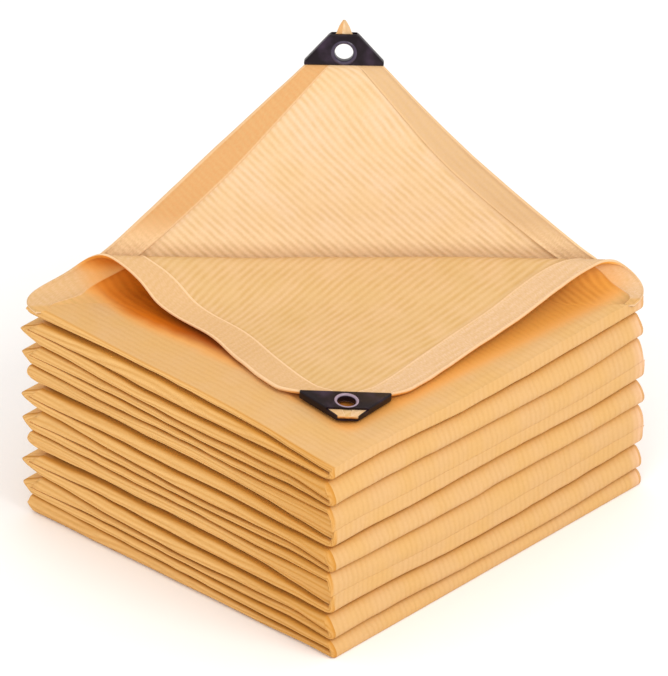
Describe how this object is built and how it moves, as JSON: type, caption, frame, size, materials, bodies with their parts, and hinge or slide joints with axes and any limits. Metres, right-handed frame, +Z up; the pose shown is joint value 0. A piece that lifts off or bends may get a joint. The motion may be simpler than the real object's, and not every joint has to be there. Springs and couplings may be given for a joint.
{
  "type": "folded shade net",
  "caption": "Knitted shade net with hemmed edges, folded into a stack, with corners loose on top in moulded corner clips with an eyelet.",
  "frame": {"origin": "on the floor, in the middle of the stack's flat underside", "axes": "+Z up, -Y towards the stack's front corner and the tip of the corner that is rolled forward, +X to the right as seen from there"},
  "size_m": [0.5425, 0.5446, 0.4513],
  "materials": {
    "net": "knitted, warm sand",
    "clip": "moulded, near black"
  },
  "bodies": {
    "root": {"net": "net", "corner_clip_front": "clip", "corner_clip_top": "clip"}
  },
  "joints": []
}
